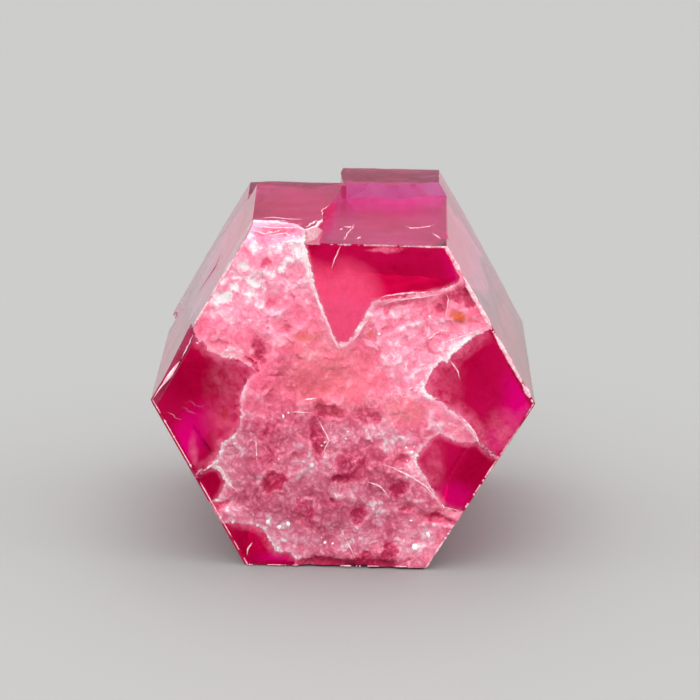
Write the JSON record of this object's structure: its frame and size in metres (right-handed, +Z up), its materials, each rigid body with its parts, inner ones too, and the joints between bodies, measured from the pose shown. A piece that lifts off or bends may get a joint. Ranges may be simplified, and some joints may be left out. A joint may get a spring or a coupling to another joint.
{
  "type": "red beryl crystal",
  "caption": "Six-sided raspberry-red crystal prism lying on a long face, with a flat rough-centred front end, a ledged top and a broken back end.",
  "frame": {"origin": "middle of the bounding box at its base, on the surface that the crystal lies on", "axes": "+Y along the crystal from its front end face to its broken end, +X across it to the right as seen from the front, +Z up"},
  "size_m": [0.0062, 0.0072, 0.0054],
  "materials": {
    "beryl": "clear raspberry-red beryl with glassy growth faces, milky fractured zones and matt broken surfaces"
  },
  "bodies": {
    "root": {"crystal": "beryl"}
  },
  "joints": []
}
